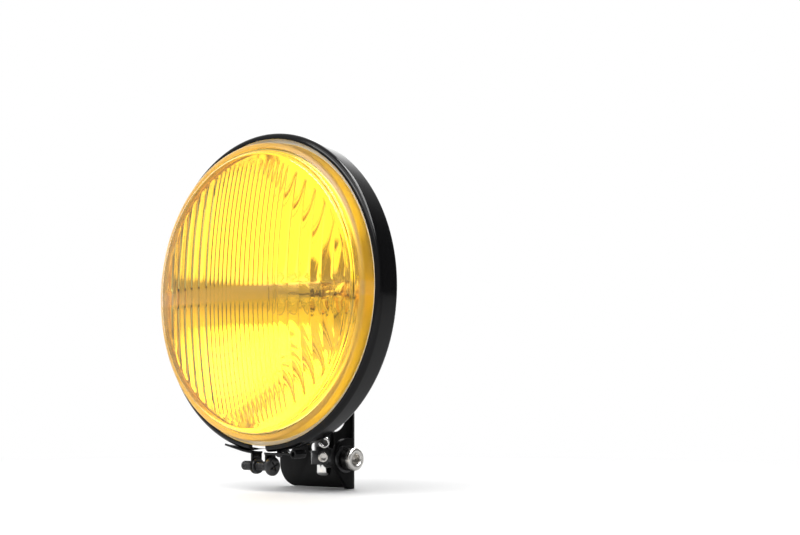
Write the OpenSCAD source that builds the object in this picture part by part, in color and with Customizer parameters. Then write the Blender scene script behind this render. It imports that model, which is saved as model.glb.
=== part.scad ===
// Auxiliary driving lamp with an amber fluted lens, a split clamp rim and a one-eared bracket.
// The origin is the middle of the bracket's four bolt holes, on the back face of its web.
// +X is to the right as the lamp is seen from in front, +Y points back and +Z points up.

/* [Rim] */
// Outer diameter of the clamp rim
rim_d = 180; // [176:1:184]
// Inner diameter of the rim's front lip
lip_d = 172.8; // [172:0.2:174]
// Thickness of the rim's steel strip
rim_t = 1.2; // [1:0.1:1.4]
// Straight depth of the rim's side wall
rim_wall = 10.5; // [10:0.5:11]
// Width of the split at the bottom of the rim
split_w = 13; // [10:0.5:16]
// Sideways place of the split, counted from the middle of the lamp
split_x = -3.5; // [-6:0.5:2]

/* [Clamp] */
// Inner distance between the two turned-down ears
ear_gap = 9.9; // [9:0.1:11]
// Sideways place of the middle between the ears, counted from the middle of the lamp
ear_x = -2.75; // [-4:0.25:-1]
// Thickness of an ear
ear_t = 1.5; // [1.2:0.1:2]
// Width of an ear along the lamp's axis
ear_w = 7; // [6:0.5:8]
// Radius at which the clamp screw lies below the lamp's middle
screw_drop = 97.9; // [97:0.1:99]
// Diameter of the clamp screw
clamp_screw_d = 5; // [4:0.5:5]

/* [Lens] */
// Diameter of the fluted face
face_d = 152.4; // [150:0.2:154]
// Radius of the domed face
dome_r = 300; // [280:5:320]
// Height of the face's edge in front of the lip's plane
face_h = 9.9; // [9:0.1:10]
// Thickness of the glass
glass_t = 3.6; // [3:0.1:4]

/* [Housing] */
// Radius of the housing where it leaves the rim
bowl_r = 84.6; // [84:0.1:84.8]
// Depth of the housing behind the lip's plane
bowl_depth = 62; // [60:0.5:64]
// Thickness of the steel sheet
sheet_t = 1.2; // [1:0.1:1.4]
// Focal length of the reflector
focus = 32; // [31:0.5:33]

/* [Mounting] */
// Side of the square on which the bracket's bolt holes lie
hole_pitch = 20; // [20:0.5:22]
// Diameter of the bracket's bolt holes
hole_d = 6.6; // [6.4:0.1:7]
// Thickness of the bracket's steel plate
plate_t = 3; // [2.5:0.5:3]
// Diameter of the polished stud
stud_d = 8.2; // [8:0.1:8.4]
// Diameter of the pivot screw
pivot_d = 8; // [7.8:0.1:8]
// Radial clearance of a part that turns in another
turn_gap = 0.07; // [0.05:0.01:0.08]

/* [Hidden] */
$fn = 96;

rim_r = rim_d / 2;
// Middle of the lamp, on the plane of the rim's front lip
lamp_x = 28;
lamp_y = -60;
lamp_z = 79;
// The stud's axis and the pivot screw's axis cross here
pivot_y = -11;
pivot_z = -15.65;
// The bracket's levels and its sideways places
foot_drop = 17.35;
foot_z = pivot_z - foot_drop;
web_top = 20;
horn_top = 11.5;
web_left = -17.4;
ear_outer = lamp_x + 16.6;
ear_inner = ear_outer - plate_t;
// The bracket's radii, and the notch behind the stud's nut
ear_r = 11.3;
bend_r = 4.5;
corner_r = 14;
top_r = 6;
notch_w = 18.8;
notch_z = 8.8;

// The knuckle and the screws in it, as distances from the stud's axis
tongue_r = 7.6;
tongue_low = -3.6;
tongue_high = 4.4;
neck_top = 6.7;
tube_r = 5.6;
barrel_r = 5.9;
barrel_end = 12.6;
screw_end = 7.6;
grub_r = 3;
grub_z = 0.6;
grub_turn = 42;
// The nut on the stud, and the wire clip: the middle of its loop and where its leg leaves the loop
nut_low = 16.2;
clip_z = 9.1;
clip_turn = 43;
clip_wire_r = 1.05;
clip_side = 0.5;
clip_loop_r = 2.45;
clip_start = -160;

// The housing's bowl: a short straight skirt, a bend and then part of a sphere
skirt_end = 12;
blend_r = 10;
blend_c = bowl_r - blend_r;
bowl_rise = bowl_depth - skirt_end;
bowl_sphere = (blend_c * blend_c + bowl_rise * bowl_rise - blend_r * blend_r) / (2 * (bowl_rise - blend_r));
bowl_centre = bowl_sphere - bowl_depth;
blend_a = atan2(bowl_centre + skirt_end, blend_c);
collar_r = 23.2;
collar_end = -66;

// The strips and the screw that close the rim, seen along the lamp's axis
clamp_z = -3.4;
strip_r = rim_r + 0.1;
strip_t = 1.2;
strip_w = 8;
rivet_r = 1.3;
rivet_x = 10.2;

// The stack of flanges inside the rim, as distances in front of the lip's plane
hem_front = -0.6;
glass_front = -1.8;
glass_back = glass_front - glass_t;
flange_r = 87.4;
seat = glass_back - 0.03;
seat_r = 80.5;
reflector_t = 0.8;
vertex = seat - seat_r * seat_r / (4 * focus);
neck_r = 9.25;
neck_end = -61.5;

// The bulb, with its filament at the reflector's focus
filament = vertex + focus;
cap_r = 7.5;
cap_front = -49.5;
cap_back = -65.5;
bulb_r = 12.5;
sleeve_out = neck_r - turn_gap;
sleeve_in = 7.8;
tab_r = 11;
tab_z = vertex + tab_r * tab_r / (4 * focus) + 0.35;
sleeve_front = tab_z + 2;
sleeve_back = -76;
pin_z = sleeve_front - 2.4;
stem_r = 2;
stem_end = -80;

function arc(cx, cy, r, a0, a1, n) =
    [for (i = [0:n]) [cx + r * cos(a0 + (a1 - a0) * i / n), cy + r * sin(a0 + (a1 - a0) * i / n)]];

// Places a shape on the lamp: its Z axis points forward out of the lens and its Y axis up
module on_lamp() {
    translate([lamp_x, lamp_y, lamp_z]) rotate([90, 0, 0]) children();
}

// Turns a section of radius and forward distance round the lamp's axis
module turned(fn = 180) {
    on_lamp() rotate_extrude($fn = fn) children();
}

// Places a shape at the pivot screw's axis: its Z axis points to the right
module on_pivot(x) {
    translate([x, pivot_y, pivot_z]) rotate([0, 90, 0]) children();
}

// Places a shape on the stud's axis at a height above the pivot screw's axis
module on_stud(z) {
    translate([lamp_x, pivot_y, pivot_z + z]) children();
}

module ring(r_out, r_in, h) {
    difference() {
        cylinder(r = r_out, h = h);
        translate([0, 0, -1]) cylinder(r = r_in, h = h + 2);
    }
}

// The bracket: a folded plate with a web behind and one ear on the right

// The folded sheet, seen from above
module fold_section() {
    straight = ear_outer - bend_r;
    translate([web_left, -plate_t]) square([straight - web_left, plate_t]);
    translate([ear_inner, pivot_y - ear_r - 1]) square([plate_t, -bend_r - pivot_y + ear_r + 1]);
    translate([straight, -bend_r]) intersection() {
        difference() {
            circle(r = bend_r);
            circle(r = bend_r - plate_t);
        }
        square(bend_r);
    }
}

// The web, seen from in front: tall on the left, with a notch behind the stud's nut
module web_outline() {
    side = lamp_x - notch_w / 2;
    shoulder = web_top - top_r;
    difference() {
        union() {
            translate([web_left + corner_r, foot_z + corner_r]) circle(r = corner_r);
            translate([web_left, foot_z + corner_r]) square([corner_r + 1, shoulder - foot_z - corner_r]);
            translate([web_left + corner_r, foot_z]) square([side - web_left - corner_r, shoulder - foot_z]);
            translate([web_left + top_r, shoulder]) circle(r = top_r);
            translate([side - top_r, shoulder]) circle(r = top_r);
            translate([web_left + top_r, shoulder - 1]) square([side - web_left - 2 * top_r, top_r + 1]);
            translate([side - 1, foot_z]) square([ear_outer - side + 1, horn_top - foot_z]);
        }
        translate([lamp_x, notch_z]) circle(d = notch_w);
        translate([side, notch_z]) square([notch_w, web_top - notch_z + 1]);
    }
}

// The ear, seen from the right with the pivot screw's axis at the origin. Its round front
// lies a little behind that axis.
module ear_outline() {
    middle = [3.2, 0.3];
    toe = [middle[0], -foot_drop];
    touch = -90 - acos(ear_r / (middle[1] + foot_drop));
    back = -pivot_y;
    top = middle[1] + ear_r;
    translate(middle) circle(r = ear_r);
    polygon([
        middle, middle + ear_r * [cos(touch), sin(touch)], toe,
        [back, -foot_drop], [back, top + 0.6], [middle[0] + 1, top]
    ]);
    translate([back - bend_r, 0]) square([bend_r, horn_top - pivot_z]);
}

module bracket() {
    reach = web_top - foot_z;
    color([0.06, 0.06, 0.065]) difference() {
        intersection() {
            translate([0, 0, foot_z]) linear_extrude(reach) fold_section();
            translate([0, 1, 0]) rotate([90, 0, 0]) linear_extrude(40) web_outline();
            union() {
                translate([web_left - 1, -plate_t - 2, foot_z])
                    cube([ear_inner - web_left, plate_t + 3, reach]);
                translate([ear_inner - 2, pivot_y, pivot_z])
                    rotate([90, 0, 90]) linear_extrude(plate_t + 3) ear_outline();
            }
        }
        for (sx = [-1, 1], sz = [-1, 1])
            translate([sx * hole_pitch / 2, 1, sz * hole_pitch / 2])
                rotate([90, 0, 0]) cylinder(d = hole_d, h = plate_t + 2, $fn = 48);
        on_pivot(ear_inner - 1) cylinder(r = pivot_d / 2 + turn_gap, h = plate_t + 2);
    }
}

// The black block between the stud and the pivot screw, rounded so that it turns in front of the web
module knuckle() {
    color([0.07, 0.07, 0.075]) difference() {
        union() {
            intersection() {
                on_stud(tongue_low) cylinder(r = tongue_r, h = tongue_high - tongue_low);
                on_pivot(lamp_x - tongue_r - 1) cylinder(r = tongue_r, h = 2 * tongue_r + 2);
            }
            on_stud(tongue_high - 1) cylinder(r = tube_r, h = neck_top - tongue_high + 1);
            on_pivot(lamp_x + 3.5) cylinder(r = barrel_r, h = barrel_end - 3.5);
        }
        on_stud(-tongue_r - 1) cylinder(r = stud_d / 2 + turn_gap, h = 2 * tongue_r + 2);
        on_pivot(lamp_x + screw_end - 0.1) cylinder(r = pivot_d / 2 + 0.03, h = barrel_end - screw_end + 1);
        on_stud(grub_z) rotate([90, 0, grub_turn]) cylinder(r = grub_r + 0.03, h = tongue_r + 3);
    }
}

module set_screw() {
    start = 4.4;
    socket_r = 1.8;
    color([0.75, 0.75, 0.74]) on_stud(grub_z) rotate([90, 0, grub_turn]) difference() {
        union() {
            translate([0, 0, start]) cylinder(r = grub_r, h = tongue_r - 0.3 - start);
            translate([0, 0, tongue_r - 0.3]) cylinder(r1 = grub_r, r2 = grub_r - 0.4, h = 0.4);
        }
        translate([0, 0, start + 1]) cylinder(r = socket_r, h = 4, $fn = 6);
    }
}

module pivot_screw() {
    head_r = 6.5;
    head_h = 8;
    chamfer = 0.7;
    socket_r = 3.46;
    seat_x = ear_outer + 1.6;
    shank = seat_x - lamp_x - screw_end;
    color([0.8, 0.79, 0.77]) on_pivot(seat_x) difference() {
        union() {
            translate([0, 0, -shank]) cylinder(r = pivot_d / 2, h = shank + 1);
            cylinder(r = head_r, h = head_h - chamfer);
            translate([0, 0, head_h - chamfer]) cylinder(r1 = head_r, r2 = head_r - chamfer, h = chamfer);
        }
        translate([0, 0, head_h - 4.5]) cylinder(r = socket_r, h = 5, $fn = 6);
        translate([0, 0, head_h - 0.5]) cylinder(r1 = socket_r, r2 = socket_r + 0.5, h = 0.51);
    }
}

module pivot_washer() {
    color([0.08, 0.08, 0.085]) on_pivot(ear_outer + 0.3) ring(8, pivot_d / 2 + 0.1, 1.3);
}

module friction_washer() {
    color([0.12, 0.12, 0.13]) on_pivot(lamp_x + barrel_end) ring(6.6, pivot_d / 2 + 0.1, 0.7);
}

// The stud and what fastens it to the lamp

// The line of the clip's leg, which lies across the stud
module on_clip_leg() {
    on_stud(clip_z) rotate([90, 0, clip_turn])
        translate([clip_side + clip_loop_r * cos(clip_start), clip_loop_r * sin(clip_start), 0]) children();
}

module swivel_stud() {
    low = -10;
    high = 38.3;
    tip = 2;
    r = stud_d / 2;
    color([0.86, 0.86, 0.85]) difference() {
        on_stud(low) rotate_extrude() polygon(concat(
            [[0, 0]], arc(r - tip, tip, tip, -90, 0, 8), [[r, high - low], [0, high - low]]
        ));
        on_clip_leg() cylinder(r = clip_wire_r + 0.03, h = 8);
    }
}

// The black tube on the stud that holds the lamp above the knuckle
module stud_spacer() {
    low = neck_top + turn_gap;
    color([0.07, 0.07, 0.075]) difference() {
        on_stud(low) ring(tube_r, stud_d / 2 + turn_gap, nut_low - 0.02 - low);
        on_clip_leg() cylinder(r = clip_wire_r + 0.05, h = 9);
    }
}

// An open loop of spring wire with one leg in the cross hole of the stud and its tube
module stud_clip() {
    stand = 7;
    sweep = 260;
    color([0.85, 0.85, 0.84]) {
        on_stud(clip_z) rotate([90, 0, clip_turn])
            translate([clip_side, 0, stand]) rotate([0, 0, clip_start])
                rotate_extrude(angle = sweep, $fn = 48)
                    translate([clip_loop_r, 0]) circle(r = clip_wire_r, $fn = 24);
        on_clip_leg() {
            translate([0, 0, 2]) cylinder(r = clip_wire_r, h = stand - 2, $fn = 24);
            translate([0, 0, stand]) sphere(r = clip_wire_r, $fn = 24);
        }
    }
}

module stud_nut() {
    color([0.7, 0.7, 0.69]) on_stud(nut_low) difference() {
        intersection() {
            cylinder(r = 13 / sqrt(3), h = 6.7, $fn = 6);
            union() {
                cylinder(r1 = 6.6, r2 = 7.6, h = 0.8);
                translate([0, 0, 0.8]) cylinder(r = 7.6, h = 5.1);
                translate([0, 0, 5.9]) cylinder(r1 = 7.6, r2 = 6.6, h = 0.8);
            }
        }
        translate([0, 0, -1]) cylinder(r = stud_d / 2 + 0.02, h = 9);
    }
}

module stud_lock_washer() {
    slit = 1.6;
    color([0.7, 0.7, 0.69]) on_stud(nut_low + 6.7) difference() {
        ring(7, stud_d / 2 + 0.15, 2.1);
        rotate([0, 0, -60]) translate([3, -slit / 2, -1]) cube([6, slit, 5]);
    }
}

module stud_washer() {
    color([0.72, 0.72, 0.71]) on_stud(nut_low + 8.8) ring(8, stud_d / 2 + 0.1, 1.6);
}

module stud_boss() {
    low = nut_low + 10.4;
    high = 68;
    bore_end = 38.6;
    color([0.05, 0.05, 0.055]) difference() {
        on_stud(low) cylinder(r = 9, h = high - low);
        on_lamp() translate([0, 0, bowl_centre]) sphere(r = bowl_sphere + 0.02, $fn = 180);
        on_stud(low - 1) cylinder(r = stud_d / 2 + 0.02, h = bore_end - low + 1);
        on_stud(low - 0.01) difference() {
            cylinder(r = 10, h = 1);
            cylinder(r1 = 8, r2 = 9, h = 1);
        }
    }
}

// The clamp rim and its fastening

module rim_band() {
    front = 3;
    back = 3.6;
    front_c = [rim_r - front, 0.7 - front];
    back_c = [rim_r - 1 - back, front_c[1] - rim_wall];
    color([0.05, 0.05, 0.055]) difference() {
        turned() polygon(concat(
            [[lip_d / 2, front_c[1] + front]],
            arc(front_c[0], front_c[1], front, 90, 0, 8),
            arc(back_c[0], back_c[1], back, 0, -90, 8),
            arc(back_c[0], back_c[1], back - rim_t, -90, 0, 8),
            arc(front_c[0], front_c[1], front - rim_t, 0, 90, 6),
            [[lip_d / 2, front_c[1] + front - rim_t]]
        ));
        on_lamp() translate([split_x - split_w / 2, -rim_r - 5, -20]) cube([split_w, 20, 25]);
        on_lamp() translate([rivet_x, -strip_r + 4, clamp_z]) rotate([90, 0, 0])
            cylinder(r = rivet_r + 0.05, h = 6);
    }
}

// A strip along the rim, from one angle to another, counted from straight down
module clamp_strip(a0, a1) {
    rotate([0, 0, a0 - 90]) rotate_extrude(angle = a1 - a0, $fn = 180)
        translate([strip_r, clamp_z - strip_w / 2]) square([strip_t, strip_w]);
}

// A turned-down ear with a round eye, its left face at x
module clamp_eye(x, eye_r, hole_r) {
    top = -strip_r - 0.3;
    difference() {
        union() {
            translate([x, -screw_drop, clamp_z]) rotate([0, 90, 0]) cylinder(r = eye_r, h = ear_t);
            translate([x, -screw_drop, clamp_z - ear_w / 2]) cube([ear_t, screw_drop + top, ear_w]);
        }
        translate([x - 1, -screw_drop, clamp_z]) rotate([0, 90, 0]) cylinder(r = hole_r, h = ear_t + 2);
    }
}

module left_clamp_ear() {
    x = ear_x - ear_gap / 2 - ear_t;
    bend = -12;
    tail = 12;
    color([0.06, 0.06, 0.065]) on_lamp() {
        clamp_strip(bend - 0.1, asin((x + ear_t) / strip_r));
        rotate([0, 0, bend]) translate([-tail, -strip_r - strip_t, clamp_z - strip_w / 2])
            cube([tail, strip_t, strip_w]);
        clamp_eye(x, 4.6, 3.3);
    }
}

// The right ear's strap runs straight on from the bottom of the rim and ends in a rolled eye
module right_clamp_ear() {
    x = ear_x + ear_gap / 2;
    eye_x = 25.3;
    eye_r = 2.4;
    color([0.06, 0.06, 0.065]) on_lamp() difference() {
        union() {
            translate([x, -strip_r - strip_t, clamp_z - strip_w / 2])
                cube([eye_x - x - eye_r + 0.5, strip_t, strip_w]);
            translate([eye_x, -strip_r - strip_t / 2, clamp_z - strip_w / 2])
                ring(eye_r, eye_r - 1.1, strip_w);
            clamp_eye(x, 4, clamp_screw_d / 2 + turn_gap);
        }
        translate([rivet_x, -strip_r + 1, clamp_z]) rotate([90, 0, 0])
            cylinder(r = rivet_r + 0.05, h = 4);
    }
}

module ear_rivet() {
    head_r = 2.3;
    foot = 1.6;
    color([0.09, 0.09, 0.1]) on_lamp()
    translate([rivet_x, -strip_r, clamp_z]) rotate([90, 0, 0]) {
        translate([0, 0, -foot]) cylinder(r = rivet_r, h = foot + strip_t + 0.2);
        translate([0, 0, strip_t + 0.05]) intersection() {
            translate([0, 0, -0.9]) sphere(r = head_r);
            cylinder(r = head_r, h = 3);
        }
    }
}

module clamp_screw() {
    r = clamp_screw_d / 2;
    seat_x = ear_x + ear_gap / 2 + ear_t + 0.3;
    head_r = 5.3;
    head_h = 2.3;
    length = 22.4;
    color([0.1, 0.1, 0.105]) on_lamp()
    translate([seat_x, -screw_drop, clamp_z]) rotate([0, 90, 0]) difference() {
        union() {
            translate([0, 0, -length]) cylinder(r = r, h = length + 1);
            cylinder(r = head_r, h = head_h - 0.9);
            translate([0, 0, head_h - 0.9]) cylinder(r1 = head_r, r2 = head_r - 1.4, h = 0.9);
        }
        for (a = [0, 90])
            rotate([0, 0, a + 30]) translate([-3, -0.6, head_h - 1.2]) cube([6, 1.2, 2]);
    }
}

// A round nut riveted into the left ear, with a flange on either side of it
module clamp_nut() {
    x = ear_x - ear_gap / 2 - ear_t;
    bore = clamp_screw_d / 2 + turn_gap;
    edge = 0.9;
    flange = 1.2;
    color([0.1, 0.1, 0.105]) on_lamp() translate([x, -screw_drop, clamp_z]) rotate([0, 90, 0]) difference() {
        union() {
            translate([0, 0, -edge - 0.01]) cylinder(r1 = 3.6, r2 = 4, h = edge);
            translate([0, 0, -0.1]) cylinder(r = 3.28, h = ear_t + 0.2);
            translate([0, 0, ear_t + 0.01]) cylinder(r = 4.35, h = flange);
        }
        translate([0, 0, -2]) cylinder(r = bore, h = ear_t + 5);
    }
}

// The glass and its seal

module lens() {
    edge = face_d / 2;
    shoulder = 7.3;
    turn = 88;
    shoulder_c = [edge + 0.3, face_h - shoulder];
    dome_c = face_h - sqrt(dome_r * dome_r - edge * edge);
    fall = asin(edge / dome_r);
    color([1, 0.72, 0.05, 0.6]) turned() polygon(concat(
        arc(0, dome_c, dome_r - glass_t, 90, 90 - fall, 16),
        arc(shoulder_c[0], shoulder_c[1], shoulder - glass_t, 80, 90 - turn, 6),
        [[shoulder_c[0] + shoulder - glass_t, glass_back], [flange_r, glass_back], [flange_r, glass_front]],
        [[shoulder_c[0] + shoulder, glass_front]],
        arc(shoulder_c[0], shoulder_c[1], shoulder, 90 - turn, 90, 12),
        arc(0, dome_c, dome_r, 90 - fall, 90, 20)
    ));
}

module lens_seal() {
    inner = face_d / 2 + 7.9;
    low = glass_front + 0.02;
    high = hem_front - 0.78;
    color([0.45, 0.45, 0.43]) turned() polygon([
        [inner, low], [inner, high - 0.1], [inner + 0.1, high], [flange_r, high], [flange_r, low]
    ]);
}

// The reflector with its neck, and the bright hem crimped over the glass
module reflector() {
    n = 24;
    hole = neck_r;
    hem_r = 1.1;
    hem_c = [flange_r + 0.9 - hem_r, hem_front - hem_r];
    hem_in = face_d / 2 + 10.1;
    function bowl(r) = vertex + r * r / (4 * focus);
    color([0.85, 0.86, 0.88]) difference() {
        turned() polygon(concat(
            [for (i = [0:n]) let (r = hole + (seat_r - hole) * i / n) [r, bowl(r)]],
            [[flange_r + 0.1, seat], [flange_r + 0.1, hem_front - 0.75]],
            [[hem_in, hem_front - 0.75], [hem_in, hem_front]],
            arc(hem_c[0], hem_c[1], hem_r, 90, 0, 6),
            [[hem_c[0] + hem_r, seat - reflector_t]],
            [for (i = [n:-1:0]) let (r = hole + 1 + (seat_r - hole - 1) * i / n) [r, bowl(r) - reflector_t]],
            [[hole + 1, neck_end], [hole, neck_end]]
        ));
        on_lamp() for (a = [125, 305])
            rotate([0, 0, a]) translate([hole - 1, -2.3, neck_end - 1]) cube([tab_r + 1.4 - hole, 4.6, 12]);
    }
}

module housing() {
    inner = bowl_sphere - sheet_t;
    flange = seat - reflector_t - 0.02;
    fold_end = -14;
    open_r = 80.6;
    color([0.05, 0.05, 0.055]) turned() polygon(concat(
        [[open_r, flange], [flange_r, flange], [flange_r, fold_end], [flange_r - sheet_t, fold_end]],
        [[flange_r - sheet_t, flange - sheet_t], [bowl_r, flange - sheet_t]],
        arc(blend_c, -skirt_end, blend_r, 0, -blend_a, 8),
        arc(0, bowl_centre, bowl_sphere, -blend_a, -acos(collar_r / bowl_sphere), 30),
        [[collar_r, collar_end], [collar_r - sheet_t, collar_end]],
        arc(0, bowl_centre, inner, -acos((collar_r - sheet_t) / inner), -blend_a, 30),
        arc(blend_c, -skirt_end, blend_r - sheet_t, -blend_a, 0, 8),
        [[bowl_r - sheet_t, flange - sheet_t], [open_r, flange - sheet_t]]
    ));
}

module rear_boot() {
    bore = 3.25;
    rib_r = 6.55;
    root_r = 6;
    pitch = 1.9;
    color([0.07, 0.07, 0.07]) turned(96) polygon(concat(
        [[collar_r + 0.05, -59.7], [26.2, -59.7], [27, -60.6], [27, -63.4], [26.2, -64.3], [26, -70]],
        [[25.5, -70.6], [25.5, -72], [25.9, -72.6], [25.8, -77], [24.6, -80], [15.5, -92.4]],
        [[13, -94.4], [7.2, -95.4], [6.4, -96.4]],
        [for (i = [0:3], p = [[root_r, 0], [rib_r, 0.35], [rib_r, 0.95], [root_r, 1.3]])
            [p[0], -97.4 - i * pitch - p[1]]],
        [[root_r, -105], [5.6, -105.4], [bore, -105.4], [bore, -93]],
        [[12, -91.4], [22.4, -78.6], [collar_r + 0.05, -76.4]]
    ));
}

// The bulb and its twist-in holder

module bulb_glass() {
    wall = 0.7;
    centre = filament - 1;
    throat = 7;
    a_out = asin(throat / bulb_r);
    a_in = asin((throat - wall) / (bulb_r - wall));
    color([0.9, 0.93, 0.95, 0.4]) turned(72) polygon(concat(
        arc(0, centre, bulb_r, 90, -90 + a_out, 18),
        [[throat, cap_front + 0.02], [throat - wall, cap_front + 0.02]],
        arc(0, centre, bulb_r - wall, -90 + a_in, 90, 18)
    ));
}

module bulb_stem() {
    color([0.85, 0.88, 0.9]) on_lamp() translate([0, 0, cap_front + 0.02]) cylinder(r = 3, h = 9, $fn = 48);
}

module bulb_filament() {
    leg_r = 0.3;
    spread = 2.6;
    start = cap_front + 9.05;
    color([0.6, 0.6, 0.62]) on_lamp() {
        for (s = [-1, 1])
            translate([s * spread, 0, start]) cylinder(r = leg_r, h = filament - start, $fn = 24);
        translate([-spread - leg_r, 0, filament]) rotate([0, 90, 0])
            cylinder(r = 0.6, h = 2 * (spread + leg_r), $fn = 24);
    }
}

module bulb_cap() {
    color([0.78, 0.62, 0.3]) on_lamp() {
        translate([0, 0, cap_back + 1]) cylinder(r = cap_r, h = cap_front - cap_back - 1);
        translate([0, 0, cap_back]) cylinder(r1 = cap_r - 1.6, r2 = cap_r, h = 1);
        translate([-cap_r - 1.1, 0, pin_z]) rotate([0, 90, 0]) cylinder(r = 1, h = 2 * cap_r + 2.2, $fn = 24);
    }
}

module bulb_contact() {
    tip_h = 1.4;
    color([0.7, 0.7, 0.68]) on_lamp() translate([0, 0, cap_back - tip_h])
        cylinder(r1 = 2, r2 = 2.6, h = tip_h - 0.02, $fn = 48);
}

module bulb_holder() {
    color([0.72, 0.72, 0.7]) on_lamp() difference() {
        union() {
            translate([0, 0, sleeve_back]) ring(sleeve_out, sleeve_in, sleeve_front - sleeve_back);
            translate([0, 0, neck_end - 1.7]) ring(13, sleeve_in, 1.4);
            for (a = [90, 270]) rotate([0, 0, a]) translate([sleeve_in + 0.4, -2, tab_z])
                cube([tab_r - sleeve_in - 0.4, 4, 1.6]);
        }
        for (a = [0, 180])
            rotate([0, 0, a]) translate([sleeve_in - 1, -1.15, pin_z - 1.15]) cube([4, 2.3, 6]);
    }
}

module holder_insulator() {
    color([0.35, 0.2, 0.1]) on_lamp() translate([0, 0, sleeve_back + 0.2])
        ring(sleeve_in - 0.02, stem_r + turn_gap, 3);
}

module contact_plunger() {
    head_z = cap_back - 1.45;
    color([0.8, 0.64, 0.32]) on_lamp() {
        translate([0, 0, head_z - 1.5]) cylinder(r = 4, h = 1.5, $fn = 48);
        translate([0, 0, stem_end]) cylinder(r = stem_r, h = head_z - 1 - stem_end, $fn = 48);
    }
}

// A helix of spring wire round the plunger's stem
module contact_spring() {
    turns = 4;
    steps = 16;
    sides = 6;
    wire = 0.25;
    coil = 3;
    low = -72.4;
    high = -68.9;
    count = turns * steps;
    points = [for (i = [0:count], k = [0:sides - 1])
        let (a = 360 * i / steps, b = 360 * k / sides, r = coil + wire * cos(b))
        [r * cos(a), r * sin(a), low + (high - low) * i / count + wire * sin(b)]];
    walls = [for (i = [0:count - 1], k = [0:sides - 1])
        let (p = i * sides + k, q = i * sides + (k + 1) % sides)
        each [[p, q, q + sides], [p, q + sides, p + sides]]];
    last = count * sides;
    ends = [for (k = [1:sides - 2]) each [[0, k + 1, k], [last, last + k, last + k + 1]]];
    color([0.6, 0.6, 0.62]) on_lamp() polyhedron(points = points, faces = concat(walls, ends));
}

module supply_terminal() {
    tab = [6.3, 0.8, 8];
    color([0.8, 0.66, 0.35]) on_lamp()
        translate([-tab[0] / 2, -tab[1] / 2, stem_end - 0.02 - tab[2]]) cube(tab);
}

bracket();
knuckle();
set_screw();
pivot_screw();
pivot_washer();
friction_washer();
swivel_stud();
stud_spacer();
stud_clip();
stud_nut();
stud_lock_washer();
stud_washer();
stud_boss();
rim_band();
left_clamp_ear();
right_clamp_ear();
ear_rivet();
clamp_screw();
clamp_nut();
lens();
lens_seal();
reflector();
housing();
rear_boot();
bulb_glass();
bulb_stem();
bulb_filament();
bulb_cap();
bulb_contact();
bulb_holder();
holder_insulator();
contact_plunger();
contact_spring();
supply_terminal();
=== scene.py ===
import math

import bmesh
import bpy
from mathutils import Matrix, Vector


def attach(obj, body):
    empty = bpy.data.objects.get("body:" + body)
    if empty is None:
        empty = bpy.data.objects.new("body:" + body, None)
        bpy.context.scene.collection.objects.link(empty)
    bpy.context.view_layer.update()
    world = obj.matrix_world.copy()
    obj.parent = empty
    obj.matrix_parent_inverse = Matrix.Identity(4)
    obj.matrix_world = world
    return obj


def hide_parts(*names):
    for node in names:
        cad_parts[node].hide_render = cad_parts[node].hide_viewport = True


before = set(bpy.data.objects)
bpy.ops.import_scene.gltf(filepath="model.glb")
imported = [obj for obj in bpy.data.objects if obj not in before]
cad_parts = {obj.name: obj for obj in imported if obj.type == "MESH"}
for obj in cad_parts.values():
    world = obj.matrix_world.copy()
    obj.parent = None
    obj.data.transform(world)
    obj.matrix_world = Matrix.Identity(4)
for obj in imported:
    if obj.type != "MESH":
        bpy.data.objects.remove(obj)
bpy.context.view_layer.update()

MM = 0.001
scene = bpy.context.scene
scene.view_settings.view_transform = "Standard"

# The camera looks up a little at the lamp from its right, from about a metre away,
# through a long lens, with the shift left at zero.
camera_data = bpy.data.cameras.new("camera")
camera_data.lens = 70
camera_data.sensor_width = 36
camera_data.clip_end = 50
camera = bpy.data.objects.new("camera", camera_data)
camera.location = (0.671, -0.659, 0.018)
camera.rotation_euler = (math.radians(94.87), 0, math.radians(42))
scene.collection.objects.link(camera)
scene.camera = camera

# Soft studio light. The room is a pale sky that is dimmer low down on the right, and the
# glass shows it nearly white, with a dimmer horizon. One wide soft lamp hangs in front.
# Two long strip lamps only draw the lines of light along the rim and the glass's shoulder.
sky = bpy.data.worlds.new("studio_sky")
sky.use_nodes = True
scene.world = sky
tree = sky.node_tree
tree.nodes.clear()
direction = tree.nodes.new("ShaderNodeTexCoord").outputs["Generated"]


def plug(tree, socket, value):
    """Feeds an input from another node's output, or sets it to a plain value."""
    if isinstance(value, bpy.types.NodeSocket):
        tree.links.new(value, socket)
    else:
        socket.default_value = value


def add_math(tree, operation, *terms, clamp=False):
    node = tree.nodes.new("ShaderNodeMath")
    node.operation = operation
    node.use_clamp = clamp
    for socket, term in zip(node.inputs, terms):
        plug(tree, socket, term)
    return node.outputs[0]


def add_vector_math(tree, operation, *terms):
    node = tree.nodes.new("ShaderNodeVectorMath")
    node.operation = operation
    for socket, term in zip(node.inputs, terms):
        plug(tree, socket, term)
    gives_number = operation in ("DOT_PRODUCT", "DISTANCE", "LENGTH")
    return node.outputs["Value" if gives_number else "Vector"]


def smooth_step(tree, value, from_min, from_max, to_min, to_max):
    """A smooth change from one level to another while a value passes through a range."""
    step = tree.nodes.new("ShaderNodeMapRange")
    step.interpolation_type = "SMOOTHSTEP"
    ends = {"Value": value, "From Min": from_min, "From Max": from_max, "To Min": to_min, "To Max": to_max}
    for label, given in ends.items():
        plug(tree, step.inputs[label], given)
    return step.outputs["Result"]


def choose_shader(tree, share, first, second):
    """The first shader where the share is 0, and the second where it is 1."""
    mix = tree.nodes.new("ShaderNodeMixShader")
    for socket, value in zip(mix.inputs, (share, first, second)):
        tree.links.new(value, socket)
    return mix.outputs[0]


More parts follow.
